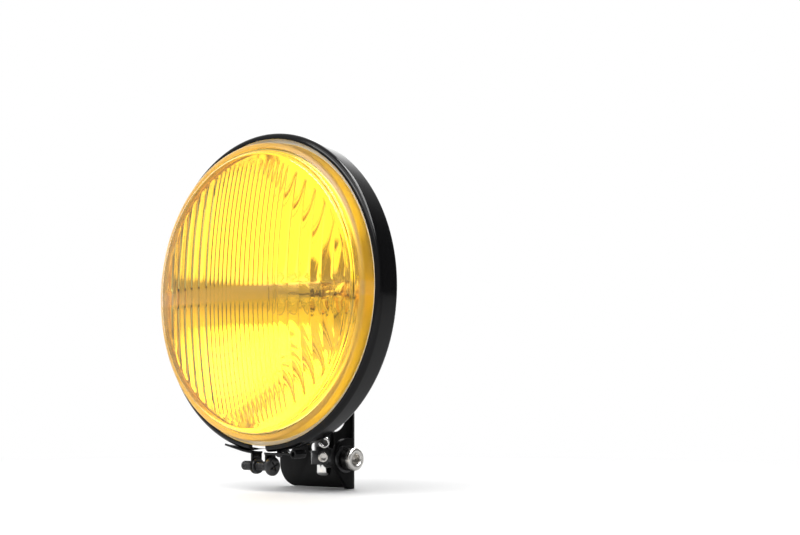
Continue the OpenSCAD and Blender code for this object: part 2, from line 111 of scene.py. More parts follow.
def sky_level(toward, *levels):
    """A level of the sky that changes with how far a direction points towards that one."""
    along = add_vector_math(tree, "DOT_PRODUCT", direction, Vector(toward).normalized())
    return smooth_step(tree, along, *levels)


def white_sky(strength):
    background = tree.nodes.new("ShaderNodeBackground")
    background.inputs["Color"].default_value = (1, 1, 1, 1)
    plug(tree, background.inputs["Strength"], strength)
    return background.outputs[0]


# The room has a bright corner behind on the left, and the sky that the glass shows has a
# bright patch high up in front
room = add_math(
    tree, "ADD",
    sky_level((0.80, 0.45, -0.35), 0.0, 0.55, 0.70, 0.12),
    sky_level((-0.75, 0.66, 0.0), 0.50, 0.95, 0.0, 2.6),
)
through_glass = add_math(
    tree, "ADD",
    sky_level((0, 0, 1), 0.13, 0.34, 0.66, 1.30),
    sky_level((0.38, -0.10, 0.92), 0.72, 0.97, 0.0, 3.0),
)
rays = tree.nodes.new("ShaderNodeLightPath").outputs
seen = choose_shader(tree, rays["Is Transmission Ray"], white_sky(room), white_sky(through_glass))
seen = choose_shader(tree, rays["Is Camera Ray"], seen, white_sky(1.0))
tree.links.new(seen, tree.nodes.new("ShaderNodeOutputWorld").inputs["Surface"])


def soft_lamp(name, wide, high, radiance, place, aim, only_lines=False):
    """An area lamp of that width, height and brightness, turned to face a point."""
    light = bpy.data.lights.new(name, "AREA")
    light.shape = "RECTANGLE"
    light.size = wide
    light.size_y = high
    light.energy = math.pi * wide * high * radiance
    lamp = bpy.data.objects.new(name, light)
    lamp.location = place
    lamp.rotation_euler = (Vector(aim) - Vector(place)).to_track_quat("-Z", "Y").to_euler()
    lamp.visible_diffuse = not only_lines
    lamp.visible_transmission = not only_lines
    scene.collection.objects.link(lamp)
    return lamp


soft_lamp("softbox", 1.3, 1.0, 3.2, (0.182, -0.783, 0.960), (0.03, -0.08, 0.06))
soft_lamp("shoulder_strip", 0.72, 0.20, 12.0, (-0.17, -0.86, 0.77), (0.03, -0.06, 0.08), only_lines=True)
# The strip over the rim runs from low in front on the right to high behind
low_end, high_end = Vector((0.81, -0.41, 0.71)), Vector((0.07, 0.48, 0.96))
middle, over = (low_end + high_end) / 2, Vector((0.08, -0.06, 0.12))
long_way, back = high_end - low_end, (middle - over).normalized()
rim_strip = soft_lamp("rim_strip", long_way.length, 0.30, 18.0, middle, over, only_lines=True)
long_way = (long_way - back * long_way.dot(back)).normalized()
rim_strip.rotation_euler = Matrix((long_way, back.cross(long_way), back)).transposed().to_euler()

# A pale floor just under the bracket's foot. To the camera it fades into the white
# background, and what the glass shows of it is a brightly lit table top in front and a
# dimmer floor beyond.
FLOOR_Z, FLOOR_REACH = -0.0333, 6.0
corners = [(FLOOR_REACH * x, FLOOR_REACH * y, FLOOR_Z) for x, y in ((-1, -1), (1, -1), (1, 1), (-1, 1))]
floor_mesh = bpy.data.meshes.new("floor")
floor_mesh.from_pydata(corners, [], [(0, 1, 2, 3)])
floor = bpy.data.objects.new("floor", floor_mesh)
scene.collection.objects.link(floor)
floor_mat = bpy.data.materials.new("floor_white")
floor_mat.use_nodes = True
tree = floor_mat.node_tree
matt = tree.nodes["Principled BSDF"]
matt.inputs["Base Color"].default_value = (0.82, 0.82, 0.82, 1)
matt.inputs["Roughness"].default_value = 0.7
place = tree.nodes.new("ShaderNodeTexCoord").outputs["Object"]


def floor_fade(centre, near, far):
    """From 0 to 1 with the distance from a point."""
    return smooth_step(tree, add_vector_math(tree, "DISTANCE", place, centre), near, far, 0.0, 1.0)


def between(share, low, high):
    """From low to high by a share from 0 to 1. Either end is a number or a socket."""
    mix = tree.nodes.new("ShaderNodeMix")
    for label, value in (("Factor", share), ("A", low), ("B", high)):
        plug(tree, mix.inputs[label], value)
    return mix.outputs["Result"]


def glow(strength):
    emission = tree.nodes.new("ShaderNodeEmission")
    plug(tree, emission.inputs["Strength"], strength)
    return emission.outputs[0]


TABLE, SHADE, FAR_FLOOR = 2.5, 0.50, 0.66
EDGE_SIDE, EDGE_BLUR = (0.909, -0.417, 0), 0.02
past_edge = add_vector_math(tree, "DOT_PRODUCT", place, EDGE_SIDE)
past_edge = add_math(tree, "MULTIPLY", past_edge, 1 / EDGE_BLUR, clamp=True)
lit = between(past_edge, SHADE, TABLE)
lit = between(floor_fade((0.028, -0.06, FLOOR_Z), 0.25, 0.30), TABLE, lit)
lit = between(floor_fade((0.03, -0.10, FLOOR_Z), 0.55, 0.95), lit, FAR_FLOOR)
rays = tree.nodes.new("ShaderNodeLightPath").outputs
seen = choose_shader(tree, rays["Is Transmission Ray"], matt.outputs[0], glow(lit))
faded = add_math(tree, "MULTIPLY", rays["Is Camera Ray"], floor_fade((0, 0, 0), 0.12, 0.50))
seen = choose_shader(tree, faded, seen, glow(1.0))
tree.links.new(seen, tree.nodes["Material Output"].inputs["Surface"])
floor_mesh.materials.append(floor_mat)


# The bracket: 3 mm steel plate, cut, folded once and powder coated in satin black.
# Its ear carries the pivot screw, and four bolts through its web hold the whole lamp.
def node_group(name, inputs, outputs):
    """A shader node group with float or vector inputs and float outputs."""
    group = bpy.data.node_groups.new(name, "ShaderNodeTree")
    for label, default in inputs:
        kind = "NodeSocketVector" if label == "Vector" else "NodeSocketFloat"
        socket = group.interface.new_socket(label, in_out="INPUT", socket_type=kind)
        if default is not None:
            socket.default_value = default
    for label in outputs:
        group.interface.new_socket(label, in_out="OUTPUT", socket_type="NodeSocketFloat")
    return group, group.nodes.new("NodeGroupInput").outputs, group.nodes.new("NodeGroupOutput").inputs


def add_noise(tree, vector, scale, detail, rough, dimensions="3D"):
    node = tree.nodes.new("ShaderNodeTexNoise")
    node.noise_dimensions = dimensions
    place = "W" if dimensions == "1D" else "Vector"
    for label, value in ((place, vector), ("Scale", scale), ("Detail", detail), ("Roughness", rough)):
        plug(tree, node.inputs[label], value)
    return node.outputs["Fac"]


def parts_of(tree, vector):
    """The X, Y and Z of a vector."""
    node = tree.nodes.new("ShaderNodeSeparateXYZ")
    tree.links.new(vector, node.inputs[0])
    return node.outputs


# A sprayed, moulded or pressed surface: fine grain, broad cloudiness and settled dust
coat, coat_in, coat_out = node_group(
    "coated_surface",
    [("Vector", None), ("Grain", 900.0), ("Cloud", 45.0), ("Roughness", 0.3), ("Spread", 0.1), ("Dust", 0.2)],
    ["Tone", "Roughness", "Height"],
)
grain = add_noise(coat, coat_in["Vector"], coat_in["Grain"], 2.0, 0.55)
cloud = add_noise(coat, coat_in["Vector"], coat_in["Cloud"], 4.0, 0.6)
speck = add_noise(coat, coat_in["Vector"], add_math(coat, "MULTIPLY", coat_in["Grain"], 2.2), 1.0, 0.4)
speck = add_math(coat, "MULTIPLY", add_math(coat, "SUBTRACT", speck, 0.66, clamp=True), 6.0, clamp=True)
up = parts_of(coat, coat.nodes.new("ShaderNodeNewGeometry").outputs["Normal"])["Z"]
dusty = add_math(coat, "MULTIPLY", add_math(coat, "MULTIPLY_ADD", up, 0.8, 0.1, clamp=True), coat_in["Dust"])
settled = add_math(coat, "MULTIPLY", speck, dusty)
tone = add_math(coat, "MULTIPLY_ADD", cloud, 0.35, add_math(coat, "MULTIPLY", grain, 0.25))
tone = add_math(coat, "ADD", tone, add_math(coat, "MULTIPLY_ADD", cloud, dusty, settled), clamp=True)
swing = add_math(coat, "MULTIPLY", add_math(coat, "SUBTRACT", cloud, 0.5), coat_in["Spread"])
rough = add_math(coat, "ADD", coat_in["Roughness"], swing)
rough = add_math(coat, "MULTIPLY_ADD", settled, 0.5, rough, clamp=True)
for label, value in (("Tone", tone), ("Roughness", rough), ("Height", grain)):
    coat.links.new(value, coat_out[label])

# Metal turned on a lathe about the Z axis: fine rings on its sides and on its faces
turned, turned_in, turned_out = node_group(
    "turned_metal",
    [("Vector", None), ("Lines", 5000.0), ("Roughness", 0.25), ("Spread", 0.15)],
    ["Tone", "Roughness", "Height"],
)
axes = parts_of(turned, turned_in["Vector"])
squares = [add_math(turned, "POWER", axes[side], 2.0) for side in ("X", "Y")]
radius = add_math(turned, "SQRT", add_math(turned, "ADD", *squares))
lines = add_noise(turned, add_math(turned, "ADD", axes["Z"], radius), turned_in["Lines"], 3.0, 0.6, "1D")
stain = add_noise(turned, turned_in["Vector"], 160.0, 3.0, 0.55)
tone = add_math(turned, "MULTIPLY_ADD", lines, 0.6, add_math(turned, "MULTIPLY", stain, 0.4), clamp=True)
swing = add_math(turned, "MULTIPLY", add_math(turned, "SUBTRACT", tone, 0.5), turned_in["Spread"])
rough = add_math(turned, "ADD", turned_in["Roughness"], swing, clamp=True)
for label, value in (("Tone", tone), ("Roughness", rough), ("Height", lines)):
    turned.links.new(value, turned_out[label])


def mix_colours(tree, share, low, high):
    mix = tree.nodes.new("ShaderNodeMix")
    mix.data_type = "RGBA"
    for index, value in ((0, share), (6, low), (7, high)):
        plug(tree, mix.inputs[index], value)
    return mix.outputs[2]


def finish(name, group, dark, light, values, bump=0.1, bump_mm=0.05, centre=None, turn=(0, 0, 0), **sockets):
    """A material: one of the groups drives colour, roughness and bump of a Principled shader."""
    material = bpy.data.materials.new(name)
    material.use_nodes = True
    tree = material.node_tree
    shader = tree.nodes["Principled BSDF"]
    where = tree.nodes.new("ShaderNodeTexCoord").outputs["Object"]
    if centre is not None:
        shift = tree.nodes.new("ShaderNodeMapping")
        shift.vector_type = "TEXTURE"
        for label, value in (("Vector", where), ("Location", centre), ("Rotation", turn)):
            plug(tree, shift.inputs[label], value)
        where = shift.outputs["Vector"]
    pattern = tree.nodes.new("ShaderNodeGroup")
    pattern.node_tree = group
    for label, value in {"Vector": where, **values}.items():
        plug(tree, pattern.inputs[label], value)
    relief = tree.nodes.new("ShaderNodeBump")
    relief.inputs["Strength"].default_value = bump
    relief.inputs["Distance"].default_value = bump_mm * MM
    tree.links.new(pattern.outputs["Height"], relief.inputs["Height"])
    tree.links.new(relief.outputs["Normal"], shader.inputs["Normal"])
    tree.links.new(pattern.outputs["Roughness"], shader.inputs["Roughness"])
    colour = mix_colours(tree, pattern.outputs["Tone"], (*dark, 1), (*light, 1))
    tree.links.new(colour, shader.inputs["Base Color"])
    for label, value in sockets.items():
        shader.inputs[label.replace("_", " ")].default_value = value
    return material


def into_scene(mesh, name, material, sharp=32):
    """A mesh becomes a piece at the origin, shaded smooth except at edges sharper than that."""
    mesh.shade_smooth()
    mesh.set_sharp_from_angle(angle=math.radians(sharp))
    mesh.materials.clear()
    mesh.materials.append(material)
    piece = bpy.data.objects.new(name, mesh)
    scene.collection.objects.link(piece)
    return piece


def eased(node, name, material, width, limit=35):
    """A copy of a CAD node with its sharp edges broken by a small round."""
    made = bmesh.new()
    made.from_mesh(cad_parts[node].data)
    bmesh.ops.remove_doubles(made, verts=made.verts, dist=2e-6)
    bmesh.ops.dissolve_limit(made, angle_limit=math.radians(0.8), verts=made.verts, edges=made.edges)
    edges = [e for e in made.edges if len(e.link_faces) == 2 and e.calc_face_angle(0) > math.radians(limit)]
    if width:
        bmesh.ops.bevel(
            made, geom=edges, offset=width * MM, offset_type="OFFSET", segments=2,
            affect="EDGES", profile=0.5, clamp_overlap=True, harden_normals=False,
        )
    bmesh.ops.triangulate(made, faces=[f for f in made.faces if len(f.verts) > 4])
    mesh = bpy.data.meshes.new(name)
    made.to_mesh(mesh)
    made.free()
    return into_scene(mesh, name, material)


powder_coat = finish(
    "satin_powder_coat", coat, (0.0015, 0.0015, 0.002), (0.008, 0.008, 0.0085),
    {"Grain": 1500.0, "Cloud": 30.0, "Roughness": 0.38, "Spread": 0.16, "Dust": 0.25},
    bump=0.25, bump_mm=0.06, Specular_IOR_Level=0.10,
)
bracket = eased("bracket", "folded_bracket", powder_coat, 0.45)
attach(bracket, "bracket")
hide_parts("bracket")

# The knuckle: a small black steel block. The stud stands in it, a grub screw in its
# front corner grips the stud, and the pivot screw is screwed into its right end.
PIVOT = Vector((28, -11, -15.65)) * MM
black_zinc = finish(
    "black_zinc", coat, (0.022, 0.022, 0.023), (0.085, 0.085, 0.088),
    {"Grain": 2600.0, "Cloud": 120.0, "Roughness": 0.28, "Spread": 0.18, "Dust": 0.2},
    bump=0.12, bump_mm=0.03, Metallic=0.6,
)
knuckle = eased("knuckle", "stud_knuckle", black_zinc, 0.35)
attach(knuckle, "knuckle")
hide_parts("knuckle")

# The grub screw, the pivot screw and their washers. The screws are turned stainless
# steel, and the washers are blackened steel. The knurled side of the pivot screw's head
# has painted shade: it is painted near black for the dark reflection it would show, so it looks much darker
# than its face.
AXIS_X = (0, math.radians(90), 0)


def grown(name, base, inputs, build, material):
    """A plain mesh grown from the base mesh by a Geometry Nodes tree with named inputs."""
    tree = bpy.data.node_groups.new(name, "GeometryNodeTree")
    tree.is_modifier = True
    tree.interface.new_socket("Geometry", in_out="INPUT", socket_type="NodeSocketGeometry")
    values = {}
    for label, value in inputs.items():
        kind = "NodeSocketInt" if isinstance(value, int) else "NodeSocketFloat"
        values[tree.interface.new_socket(label, in_out="INPUT", socket_type=kind).identifier] = value
    tree.interface.new_socket("Geometry", in_out="OUTPUT", socket_type="NodeSocketGeometry")
    start, end = tree.nodes.new("NodeGroupInput"), tree.nodes.new("NodeGroupOutput")
    whole = tree.nodes.new("GeometryNodeRealizeInstances")
    painted = tree.nodes.new("GeometryNodeSetMaterial")
    painted.inputs["Material"].default_value = material
    tree.links.new(build(tree, start.outputs), whole.inputs["Geometry"])
    tree.links.new(whole.outputs[0], painted.inputs["Geometry"])
    tree.links.new(painted.outputs[0], end.inputs[0])
    holder = bpy.data.objects.new(name, base)
    scene.collection.objects.link(holder)
    modifier = holder.modifiers.new(name, "NODES")
    modifier.node_group = tree
    for identifier, value in values.items():
        modifier[identifier] = value
    mesh = bpy.data.meshes.new_from_object(holder.evaluated_get(bpy.context.evaluated_depsgraph_get()))
    holder.modifiers.clear()
    bpy.data.objects.remove(holder)
    return mesh


def add_node(tree, kind, **links):
    """A node whose inputs are linked or set by name, with spaces written as underscores."""
    node = tree.nodes.new(kind)
    for label, value in links.items():
        plug(tree, node.inputs[label.replace("_", " ")], value)
    return node


def placed(tree, geometry, place, turn):
    moved = add_node(tree, "GeometryNodeTransform", Geometry=geometry, Translation=place, Rotation=turn)
    return moved.outputs[0]


def ramp(tree, value, zero_at, width):
    """From 0 to 1 while a value goes on from zero_at by a width, which may be negative."""
    return add_math(tree, "MULTIPLY", add_math(tree, "SUBTRACT", value, zero_at), 1 / width, clamp=True)


def off_axis(tree, where, centre, across):
    """A surface point's distance from an axis. across has a 1 for each of the two ways square to it."""
    flat = add_vector_math(tree, "MULTIPLY_ADD", where, across, -Vector(across) * centre)
    return add_vector_math(tree, "LENGTH", flat)


def paint_over(material, mask, colour):
    """Lays a colour over the material's own where the mask is 1."""
    tree = material.node_tree
    socket = tree.nodes["Principled BSDF"].inputs["Base Color"]
    tree.links.new(mix_colours(tree, mask, socket.links[0].from_socket, colour), socket)


stainless_x = finish(
    "turned_stainless", turned, (0.42, 0.405, 0.385), (0.80, 0.78, 0.75),
    {"Lines": 2600.0, "Roughness": 0.26, "Spread": 0.25}, bump=0.25, bump_mm=0.02,
    centre=PIVOT, turn=AXIS_X, Metallic=1.0,
)
HEAD_R, HEAD_FACE = 6.5, 54.2
knurl_painted_shade = stainless_x.copy()
knurl_painted_shade.name = "knurled_stainless_painted_shade"
tree = knurl_painted_shade.node_tree
where = tree.nodes.new("ShaderNodeTexCoord").outputs["Object"]
# Painted shade: the side of the head, back from its face, is painted near black in place of the dark
# reflection it would show
on_side = ramp(tree, off_axis(tree, where, PIVOT, (0, 1, 1)), (HEAD_R - 0.6) * MM, 0.4 * MM)
behind_face = ramp(tree, parts_of(tree, where)["X"], (HEAD_FACE - 1.0) * MM, -2.2 * MM)
paint_over(knurl_painted_shade, add_math(tree, "MULTIPLY", on_side, behind_face), (0.028, 0.027, 0.026, 1))
for node, name, width, metal in (
    ("pivot_screw", "pivot_screw_head", 0.3, knurl_painted_shade),
    ("set_screw", "grub_screw", 0.12, stainless_x),
):
    screw = eased(node, name, metal, width, limit=28)
    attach(screw, "knuckle")
    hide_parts(node)


def head_ridges(tree, given):
    """Straight ridges side by side round the screw's head."""
    ring = add_node(tree, "GeometryNodeMeshCircle", Vertices=given["Ridges"], Radius=given["Ring radius"])
    step = add_math(tree, "DIVIDE", 2 * math.pi, given["Ridges"])
    index = tree.nodes.new("GeometryNodeInputIndex").outputs[0]
    turn = add_node(tree, "ShaderNodeCombineXYZ", Z=add_math(tree, "MULTIPLY", index, step))
    ridge = add_node(
        tree, "GeometryNodeMeshCylinder", Vertices=4, Radius=given["Ridge radius"], Depth=given["Length"],
    )
    around = add_node(
        tree, "GeometryNodeInstanceOnPoints",
        Points=ring.outputs[0], Instance=ridge.outputs[0], Rotation=turn.outputs[0],
    )
    return placed(tree, around.outputs[0], ((HEAD_FACE - 4.1) * MM, PIVOT.y, PIVOT.z), AXIS_X)


ridges = into_scene(
    grown(
        "head_ridges", bpy.data.meshes.new("ridge_base"),
        {"Ridges": 54, "Ring radius": (HEAD_R - 0.14) * MM, "Ridge radius": 0.24 * MM, "Length": 6.2 * MM},
        head_ridges, knurl_painted_shade,
    ),
    "head_grip", knurl_painted_shade,
)
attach(ridges, "knuckle")

for node, name in (("pivot_washer", "head_washer"), ("friction_washer", "ear_washer")):
    washer = eased(node, name, black_zinc, 0.2)
    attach(washer, "knuckle")
    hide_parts(node)

# The stud: an 8 mm steel pin, ground and polished, that stands under the lamp, with a
# black spacer tube on it and a loop of spring wire in its cross hole.
polish = finish(
    "polished_steel", turned, (0.66, 0.66, 0.655), (0.86, 0.86, 0.85),
    {"Lines": 3000.0, "Roughness": 0.10, "Spread": 0.08}, bump=0.06, bump_mm=0.01,
    centre=PIVOT, Metallic=1.0,
)
for node, name, width in (("swivel_stud", "polished_stud", 0.25), ("stud_clip", "wire_clip", 0.0)):
    piece = eased(node, name, polish, width)
    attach(piece, "lamp")
    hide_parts(node)

spacer = eased("stud_spacer", "spacer_tube", black_zinc, 0.2)
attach(spacer, "lamp")
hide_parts("stud_spacer")

# The hexagon nut, the split lock washer and the plain washer that pull the stud up into
# its boss. All three are stainless steel with a turned finish.
stainless_z = finish(
    "stainless_fasteners", turned, (0.40, 0.39, 0.375), (0.72, 0.71, 0.69),
    {"Lines": 1800.0, "Roughness": 0.30, "Spread": 0.2}, bump=0.2, bump_mm=0.02,
    centre=PIVOT, Metallic=1.0,
)
for node, name in (
    ("stud_nut", "stud_hex_nut"), ("stud_lock_washer", "split_washer"), ("stud_washer", "plain_washer"),
):
    piece = eased(node, name, stainless_z, 0.2)
    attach(piece, "lamp")
    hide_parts(node)

# The shell: steel sheet spun into a bowl, enamelled gloss black outside. Its flange and
# its folded edge lie under the rim, and a short collar behind carries the boot.
LAMP = Vector((28, -60, 79)) * MM


def rounded(points):
    """A closed outline from corners of (radius, forward, fillet), with each corner rounded."""
    outline = []
    count, steps = len(points), 5
    for index, (x, y, fillet) in enumerate(points):
        here = Vector((x, y))
        if not fillet:
            outline.append(here)
            continue
        before = Vector(points[index - 1][:2]) - here
        after = Vector(points[(index + 1) % count][:2]) - here
        bend = before.angle(after)
        cut = min(fillet / math.tan(bend / 2), before.length * 0.49, after.length * 0.49)
        start, end = here + before.normalized() * cut, here + after.normalized() * cut
        for step in range(steps + 1):
            t = step / steps
            outline.append(start * (1 - t) ** 2 + here * 2 * t * (1 - t) + end * t ** 2)
    return [(p[0], p[1]) for p in outline]


def arc(cx, cy, r, start, end, steps):
    """Corners without fillets along a round, between two angles in degrees."""
    turns = [math.radians(start + (end - start) * i / steps) for i in range(steps + 1)]
    return [(cx + r * math.cos(turn), cy + r * math.sin(turn), 0) for turn in turns]


def lamp_point(r, forward, angle):
    """A point from its distance to the lamp's axis, how far it is in front of the lip, and its turn."""
    return LAMP + Vector((r * math.sin(angle), -forward, -r * math.cos(angle))) * MM


def lathe(outline, steps=256, split=None):
    """A closed outline turned round the lamp's axis. split gives both sides of a gap at the bottom."""
    made = bmesh.new()
    rings = []
    columns = steps if split is None else steps + 1
    for column in range(columns):
        ring = []
        for r, forward in outline:
            if split is None:
                angle = 2 * math.pi * column / steps
            else:
                low, high = math.asin(split[1] / r), 2 * math.pi + math.asin(split[0] / r)
                angle = low + (high - low) * column / steps
            ring.append(made.verts.new(lamp_point(r, forward, angle)))
        rings.append(ring)
    count = len(outline)
    for column in range(steps):
        here, there = rings[column], rings[(column + 1) % columns]
        for k in range(count):
            made.faces.new((here[k], there[k], there[(k + 1) % count], here[(k + 1) % count]))
    if split is not None:
        made.faces.new(rings[0])
        made.faces.new(list(reversed(rings[-1])))
    bmesh.ops.remove_doubles(made, verts=made.verts, dist=1e-7)
    bmesh.ops.recalc_face_normals(made, faces=made.faces)
    return made


def to_mesh(made, name):
    mesh = bpy.data.meshes.new(name)
    made.to_mesh(mesh)
    made.free()
    return mesh


shell_enamel = finish(
    "shell_enamel", coat, (0.004, 0.004, 0.005), (0.018, 0.018, 0.019),
    {"Grain": 420.0, "Cloud": 22.0, "Roughness": 0.15, "Spread": 0.1, "Dust": 0.3},
    bump=0.07, bump_mm=0.08, Specular_IOR_Level=0.4,
)
SHEET = 1.2
FLANGE_IN, FLANGE_OUT, FLANGE = 80.6, 87.4, -6.25
SKIRT_R, SKIRT_END, BEND_R, DEPTH = 84.6, 12.0, 10.0, 62.0
COLLAR_R, COLLAR_START, COLLAR_END = 23.2, -59.9, -66.0
bend_c = SKIRT_R - BEND_R
rise = DEPTH - SKIRT_END
BOWL_R = (bend_c ** 2 + rise ** 2 - BEND_R ** 2) / (2 * (rise - BEND_R))
BOWL_C = BOWL_R - DEPTH
bend_a = math.degrees(math.atan2(BOWL_C + SKIRT_END, bend_c))
outer_end = math.degrees(math.acos((COLLAR_R + 2.2) / BOWL_R))
inner_end = math.degrees(math.acos((COLLAR_R - SHEET) / (BOWL_R - SHEET)))
shell_outline = rounded(
    [(FLANGE_IN, FLANGE, 0.4), (FLANGE_OUT, FLANGE, 0.9), (FLANGE_OUT, -14.0, 0.5)]
    + [(FLANGE_OUT - SHEET, -14.0, 0.5), (FLANGE_OUT - SHEET, FLANGE - SHEET, 0.4)]
    + [(SKIRT_R, FLANGE - SHEET, 0.6)]
    + arc(bend_c, -SKIRT_END, BEND_R, 0, -bend_a, 12)
    + arc(0, BOWL_C, BOWL_R, -bend_a, -outer_end, 60)
    + [(COLLAR_R, COLLAR_START, 1.2), (COLLAR_R, COLLAR_END, 0.5), (COLLAR_R - SHEET, COLLAR_END, 0.5)]
    + arc(0, BOWL_C, BOWL_R - SHEET, -inner_end, -bend_a, 60)
    + arc(bend_c, -SKIRT_END, BEND_R - SHEET, -bend_a, 0, 12)
    + [(SKIRT_R - SHEET, FLANGE - SHEET, 0), (FLANGE_IN, FLANGE - SHEET, 0.4)]
)
shell = into_scene(to_mesh(lathe(shell_outline), "spun_shell"), "spun_shell", shell_enamel)
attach(shell, "lamp")
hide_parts("housing")

# The boss: a round steel pillar brazed under the shell and enamelled with it. The fillet
# of braze follows the line where the two meet.
boss = eased("stud_boss", "stud_boss_pillar", shell_enamel, 0.3)
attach(boss, "lamp")
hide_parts("stud_boss")
BOSS_R, JOINT_STEPS = 9.0, 96
path = bmesh.new()
for step in range(JOINT_STEPS):
    turn = 2 * math.pi * step / JOINT_STEPS
    x = BOSS_R * math.cos(turn)
    back = (PIVOT.y - LAMP.y) / MM + BOSS_R * math.sin(turn)
    drop = math.sqrt(BOWL_R ** 2 - (back + BOWL_C) ** 2 - x * x)
    path.verts.new(LAMP + Vector((x, back, -drop)) * MM)
path.verts.ensure_lookup_table()
for step in range(JOINT_STEPS):
    path.edges.new((path.verts[step], path.verts[(step + 1) % JOINT_STEPS]))


def braze_bead(tree, given):
    """A rippled bead of metal that follows the joint line."""
    line = add_node(tree, "GeometryNodeMeshToCurve", Mesh=given["Geometry"])
    line = add_node(tree, "GeometryNodeResampleCurve", Curve=line.outputs[0], Count=given["Steps"])
    along = tree.nodes.new("GeometryNodeSplineParameter").outputs["Factor"]
    phase = add_math(tree, "MULTIPLY", add_math(tree, "MULTIPLY", along, given["Ripples"]), 2 * math.pi)
    swell = add_math(tree, "MULTIPLY_ADD", add_math(tree, "SINE", phase), given["Ripple depth"], 1.0)
    section = add_node(tree, "GeometryNodeCurvePrimitiveCircle", Resolution=14, Radius=given["Bead radius"])
    bead = add_node(
        tree, "GeometryNodeCurveToMesh", Curve=line.outputs[0], Profile_Curve=section.outputs[0], Scale=swell,
    )
    return bead.outputs[0]


fillet = into_scene(
    grown(
        "braze_bead", to_mesh(path, "joint_line"),
        {"Steps": 300, "Ripples": 38.0, "Ripple depth": 0.07, "Bead radius": 1.45 * MM},
        braze_bead, shell_enamel,
    ),
    "boss_fillet", shell_enamel, 80,
)
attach(fillet, "lamp")

# The boot: black rubber, stretched over the shell's collar and over the bulb holder.
# Its outlet has ribs, so that it bends there without kinking.
boot_rubber = finish(
    "moulded_rubber", coat, (0.009, 0.009, 0.009), (0.038, 0.037, 0.036),
    {"Grain": 1800.0, "Cloud": 60.0, "Roughness": 0.52, "Spread": 0.2, "Dust": 0.5},
    bump=0.2, bump_mm=0.06,
)
boot_outline = rounded(
    [(23.25, -59.7, 0.4), (26.2, -59.7, 0.6), (27.0, -60.6, 0.7), (27.0, -63.4, 0.7), (26.2, -64.3, 0.5)]
    + [(26.0, -70.0, 0.8), (25.5, -70.6, 0.5), (25.5, -72.0, 0.5), (25.9, -72.6, 0.8), (25.8, -77.0, 3.0)]
    + [(24.2, -81.0, 4.0), (15.5, -92.4, 4.0), (12.6, -94.6, 2.0), (7.4, -95.4, 1.2), (6.4, -96.6, 0.8)]
    + [(5.9, -105.4, 0.5), (3.25, -105.4, 0.4), (3.25, -93.0, 0.5), (12.0, -91.4, 2.0), (22.4, -78.6, 2.0)]
    + [(23.25, -76.4, 0.8)]
)
boot = into_scene(to_mesh(lathe(boot_outline, 128), "rubber_boot"), "rubber_boot", boot_rubber)
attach(boot, "lamp")
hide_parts("rear_boot")
FIRST_RIB, RIB_SHRINK = 97.6, 0.012


def outlet_ribs(tree, given):
    """Equal rings in a row along the outlet, each one a little smaller."""
    step = add_node(tree, "ShaderNodeCombineXYZ", Z=given["Pitch"])
    row = add_node(tree, "GeometryNodeMeshLine", Count=given["Ribs"], Offset=step.outputs[0])
    circle = add_node(tree, "GeometryNodeCurvePrimitiveCircle", Resolution=72, Radius=given["Rib radius"])
    section = add_node(tree, "GeometryNodeCurvePrimitiveCircle", Resolution=12, Radius=given["Rib height"])
    ring = add_node(
        tree, "GeometryNodeCurveToMesh", Curve=circle.outputs[0], Profile_Curve=section.outputs[0],
    )
    index = tree.nodes.new("GeometryNodeInputIndex").outputs[0]
    shrink = add_math(tree, "MULTIPLY_ADD", index, -RIB_SHRINK, 1.0)
    size = add_node(tree, "ShaderNodeCombineXYZ", X=shrink, Y=shrink, Z=1.0)
    rings = add_node(
        tree, "GeometryNodeInstanceOnPoints",
        Points=row.outputs[0], Instance=ring.outputs[0], Scale=size.outputs[0],
    )
    first = (LAMP.x, LAMP.y + FIRST_RIB * MM, LAMP.z)
    return placed(tree, rings.outputs[0], first, (math.radians(-90), 0, 0))


ribs = into_scene(
    grown(
        "outlet_ribs", bpy.data.meshes.new("rib_base"),
        {"Ribs": 5, "Pitch": 1.65 * MM, "Rib radius": 6.1 * MM, "Rib height": 0.62 * MM},
        outlet_ribs, boot_rubber,
    ),
    "boot_ribs", boot_rubber, 80,
)
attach(ribs, "lamp")

# The reflector: a steel paraboloid, aluminised bright inside, with a neck for the bulb
# holder. Its outer edge is crimped over the glass and its seal.
mirror = finish(
    "aluminised", coat, (0.92, 0.92, 0.91), (0.98, 0.98, 0.97),
    {"Grain": 260.0, "Cloud": 30.0, "Roughness": 0.06, "Spread": 0.05, "Dust": 0.0},
    bump=0.03, bump_mm=0.1, Metallic=1.0,
)
FOCUS = 32.0
SEAT_R, SEAT = 80.5, -5.43
VERTEX = SEAT - SEAT_R ** 2 / (4 * FOCUS)
NECK_R, NECK_END, WALL = 9.25, -61.5, 1.0
bowl = [NECK_R + (SEAT_R - NECK_R) * i / 90 for i in range(91)]
inside = [(r, VERTEX + r * r / (4 * FOCUS), 0) for r in bowl]
outside = [(r + WALL, VERTEX + (r + WALL) ** 2 / (4 * FOCUS) - 0.8, 0) for r in reversed(bowl[:-2])]
reflector_outline = rounded(
    inside
    + [(87.5, SEAT, 0), (87.5, -1.35, 0), (86.3, -1.35, 0), (86.3, -0.6, 0.3), (88.3, -0.6, 1.0)]
    + [(88.3, SEAT - 0.8, 0.4)]
    + outside
    + [(NECK_R + WALL, NECK_END, 0.3), (NECK_R, NECK_END, 0.3)]
)
reflector = into_scene(to_mesh(lathe(reflector_outline), "mirror_bowl"), "mirror_bowl", mirror, 50)
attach(reflector, "lamp")
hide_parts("reflector")

